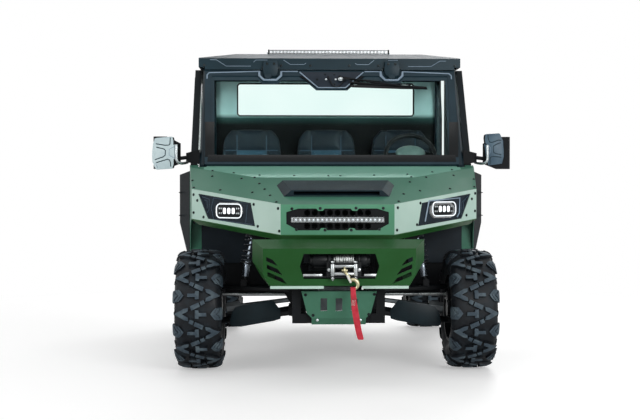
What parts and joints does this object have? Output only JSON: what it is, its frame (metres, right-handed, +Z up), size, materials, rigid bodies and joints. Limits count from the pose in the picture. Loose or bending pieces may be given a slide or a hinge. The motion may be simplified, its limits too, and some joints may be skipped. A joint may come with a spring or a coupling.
{
  "type": "side by side utility vehicle",
  "caption": "Closed-cab side by side utility vehicle with lugged tyres, plate nose, winch bumper, hinged doors, tipping cargo bed and drop tailgate.",
  "frame": {"origin": "on the ground, in the middle of the length and width", "axes": "+Z up, the front faces -Y, +X to the driver's side (the vehicle's left)"},
  "size_m": [2.08, 3.19, 1.8703],
  "materials": {
    "frame_black": "satin",
    "bumper_green": "satin",
    "skid_green": "satin",
    "winch_black": "gloss",
    "zinc_steel": "satin",
    "hook_steel": "satin",
    "red_webbing": "matte",
    "core_alloy": "satin",
    "nose_green": "gloss",
    "panel_mint": "gloss",
    "lip_green": "satin",
    "hood_green": "gloss",
    "cowl_green": "gloss",
    "black_plastic": "matte",
    "led_lens": "gloss",
    "lamp_lens": "gloss",
    "cage_teal": "satin",
    "screen_frame": "satin",
    "clear_glass": "gloss",
    "roof_teal": "satin",
    "bar_alloy": "satin",
    "cable_jacket": "matte",
    "seat_vinyl": "matte",
    "door_black": "satin",
    "bed_green": "gloss",
    "tail_red": "gloss",
    "engine_alloy": "satin",
    "exhaust_steel": "satin",
    "shock_black": "satin",
    "wheel_black": "satin",
    "tyre_rubber": "matte"
  },
  "bodies": {
    "chassis": {"chassis_frame": "frame_black", "front_bumper": "bumper_green", "front_skid_plate": "skid_green", "winch": "winch_black", "fairlead": "zinc_steel", "tow_hook": "hook_steel", "pull_strap": "red_webbing", "radiator": "core_alloy", "nose_panel": "nose_green", "lamp_panels": "panel_mint", "nose_lips": "lip_green", "hood_panel": "hood_green", "cowl_strip": "cowl_green", "front_fenders": "hood_green", "hood_scoop": "black_plastic", "grille_insert": "black_plastic", "grille_light_bar": "led_lens", "lamp_bezels": "black_plastic", "headlamps": "lamp_lens", "wheel_arch_liners": "black_plastic", "cab_tub": "black_plastic", "roll_cage": "cage_teal", "windshield_frame": "screen_frame", "windshield_glass": "clear_glass", "wiper": "black_plastic", "wiper_cable": "cable_jacket", "roof_panel": "roof_teal", "roof_light_bar": "bar_alloy", "dashboard": "black_plastic", "seat_cushions": "seat_vinyl", "seat_backs": "seat_vinyl", "rear_panel": "cage_teal", "rear_window": "clear_glass", "mirrors": "black_plastic", "rear_bumper": "frame_black", "engine": "engine_alloy", "exhaust": "exhaust_steel", "front_drive": "engine_alloy", "front_arms": "frame_black", "rear_arms": "frame_black", "shocks": "shock_black"},
    "steering_wheel": {"steering_wheel": "black_plastic"},
    "steering_rack": {"steering_rack": "zinc_steel"},
    "knuckle_left": {"knuckle_left": "frame_black"},
    "knuckle_right": {"knuckle_right": "frame_black"},
    "wheel_front_left": {"wheel_front_left": "wheel_black", "tyre_front_left": "tyre_rubber"},
    "wheel_front_right": {"wheel_front_right": "wheel_black", "tyre_front_right": "tyre_rubber"},
    "wheel_rear_left": {"wheel_rear_left": "wheel_black", "tyre_rear_left": "tyre_rubber"},
    "wheel_rear_right": {"wheel_rear_right": "wheel_black", "tyre_rear_right": "tyre_rubber"},
    "door_left": {"door_left": "door_black", "door_glass_left": "clear_glass"},
    "door_right": {"door_right": "door_black", "door_glass_right": "clear_glass"},
    "bed": {"bed_box": "bed_green", "tail_lamps": "tail_red"},
    "tailgate": {"tailgate": "bed_green"}
  },
  "joints": [
    {"name": "steer_left", "type": "hinge", "parent": "chassis", "child": "knuckle_left", "pos_m": [0.64, -0.93, 0.33], "axis": [0, 0, 1], "range_deg": [-28, 28]},
    {"name": "steer_right", "type": "hinge", "parent": "chassis", "child": "knuckle_right", "pos_m": [-0.64, -0.93, 0.33], "axis": [0, 0, 1], "range_deg": [-28, 28]},
    {"name": "rack_slide", "type": "slide", "parent": "chassis", "child": "steering_rack", "axis": [1, 0, 0], "range_m": [-0.0515, 0.0515]},
    {"name": "steering_wheel_turn", "type": "hinge", "parent": "chassis", "child": "steering_wheel", "pos_m": [0.5, -0.13, 1.204], "axis": [0, 0.8192, 0.5736], "range_deg": [-253, 253]},
    {"name": "wheel_front_left_spin", "type": "hinge", "parent": "knuckle_left", "child": "wheel_front_left", "pos_m": [0.744, -0.93, 0.33], "axis": [1, 0, 0], "continuous": true},
    {"name": "wheel_front_right_spin", "type": "hinge", "parent": "knuckle_right", "child": "wheel_front_right", "pos_m": [-0.744, -0.93, 0.33], "axis": [1, 0, 0], "continuous": true},
    {"name": "wheel_rear_left_spin", "type": "hinge", "parent": "chassis", "child": "wheel_rear_left", "pos_m": [0.7315, 1.13, 0.33], "axis": [1, 0, 0], "continuous": true},
    {"name": "wheel_rear_right_spin", "type": "hinge", "parent": "chassis", "child": "wheel_rear_right", "pos_m": [-0.7315, 1.13, 0.33], "axis": [1, 0, 0], "continuous": true},
    {"name": "door_left_hinge", "type": "hinge", "parent": "chassis", "child": "door_left", "pos_m": [0.822, -0.489, 0.8], "axis": [0, 0, -1], "range_deg": [0, 65]},
    {"name": "door_right_hinge", "type": "hinge", "parent": "chassis", "child": "door_right", "pos_m": [-0.822, -0.489, 0.8], "axis": [0, 0, 1], "range_deg": [0, 65]},
    {"name": "bed_tilt", "type": "hinge", "parent": "chassis", "child": "bed", "pos_m": [0, 1.4, 0.77], "axis": [-1, 0, 0], "range_deg": [0, 40]},
    {"name": "tailgate_drop", "type": "hinge", "parent": "bed", "child": "tailgate", "pos_m": [0, 1.566, 0.848], "axis": [-1, 0, 0], "range_deg": [0, 90]}
  ],
  "couplings": [
    {"joint": "steer_right", "follows": "steer_left", "ratio": 1},
    {"joint": "rack_slide", "follows": "steer_left", "m_per_rad": -0.105},
    {"joint": "steering_wheel_turn", "follows": "steer_left", "ratio": 9}
  ]
}
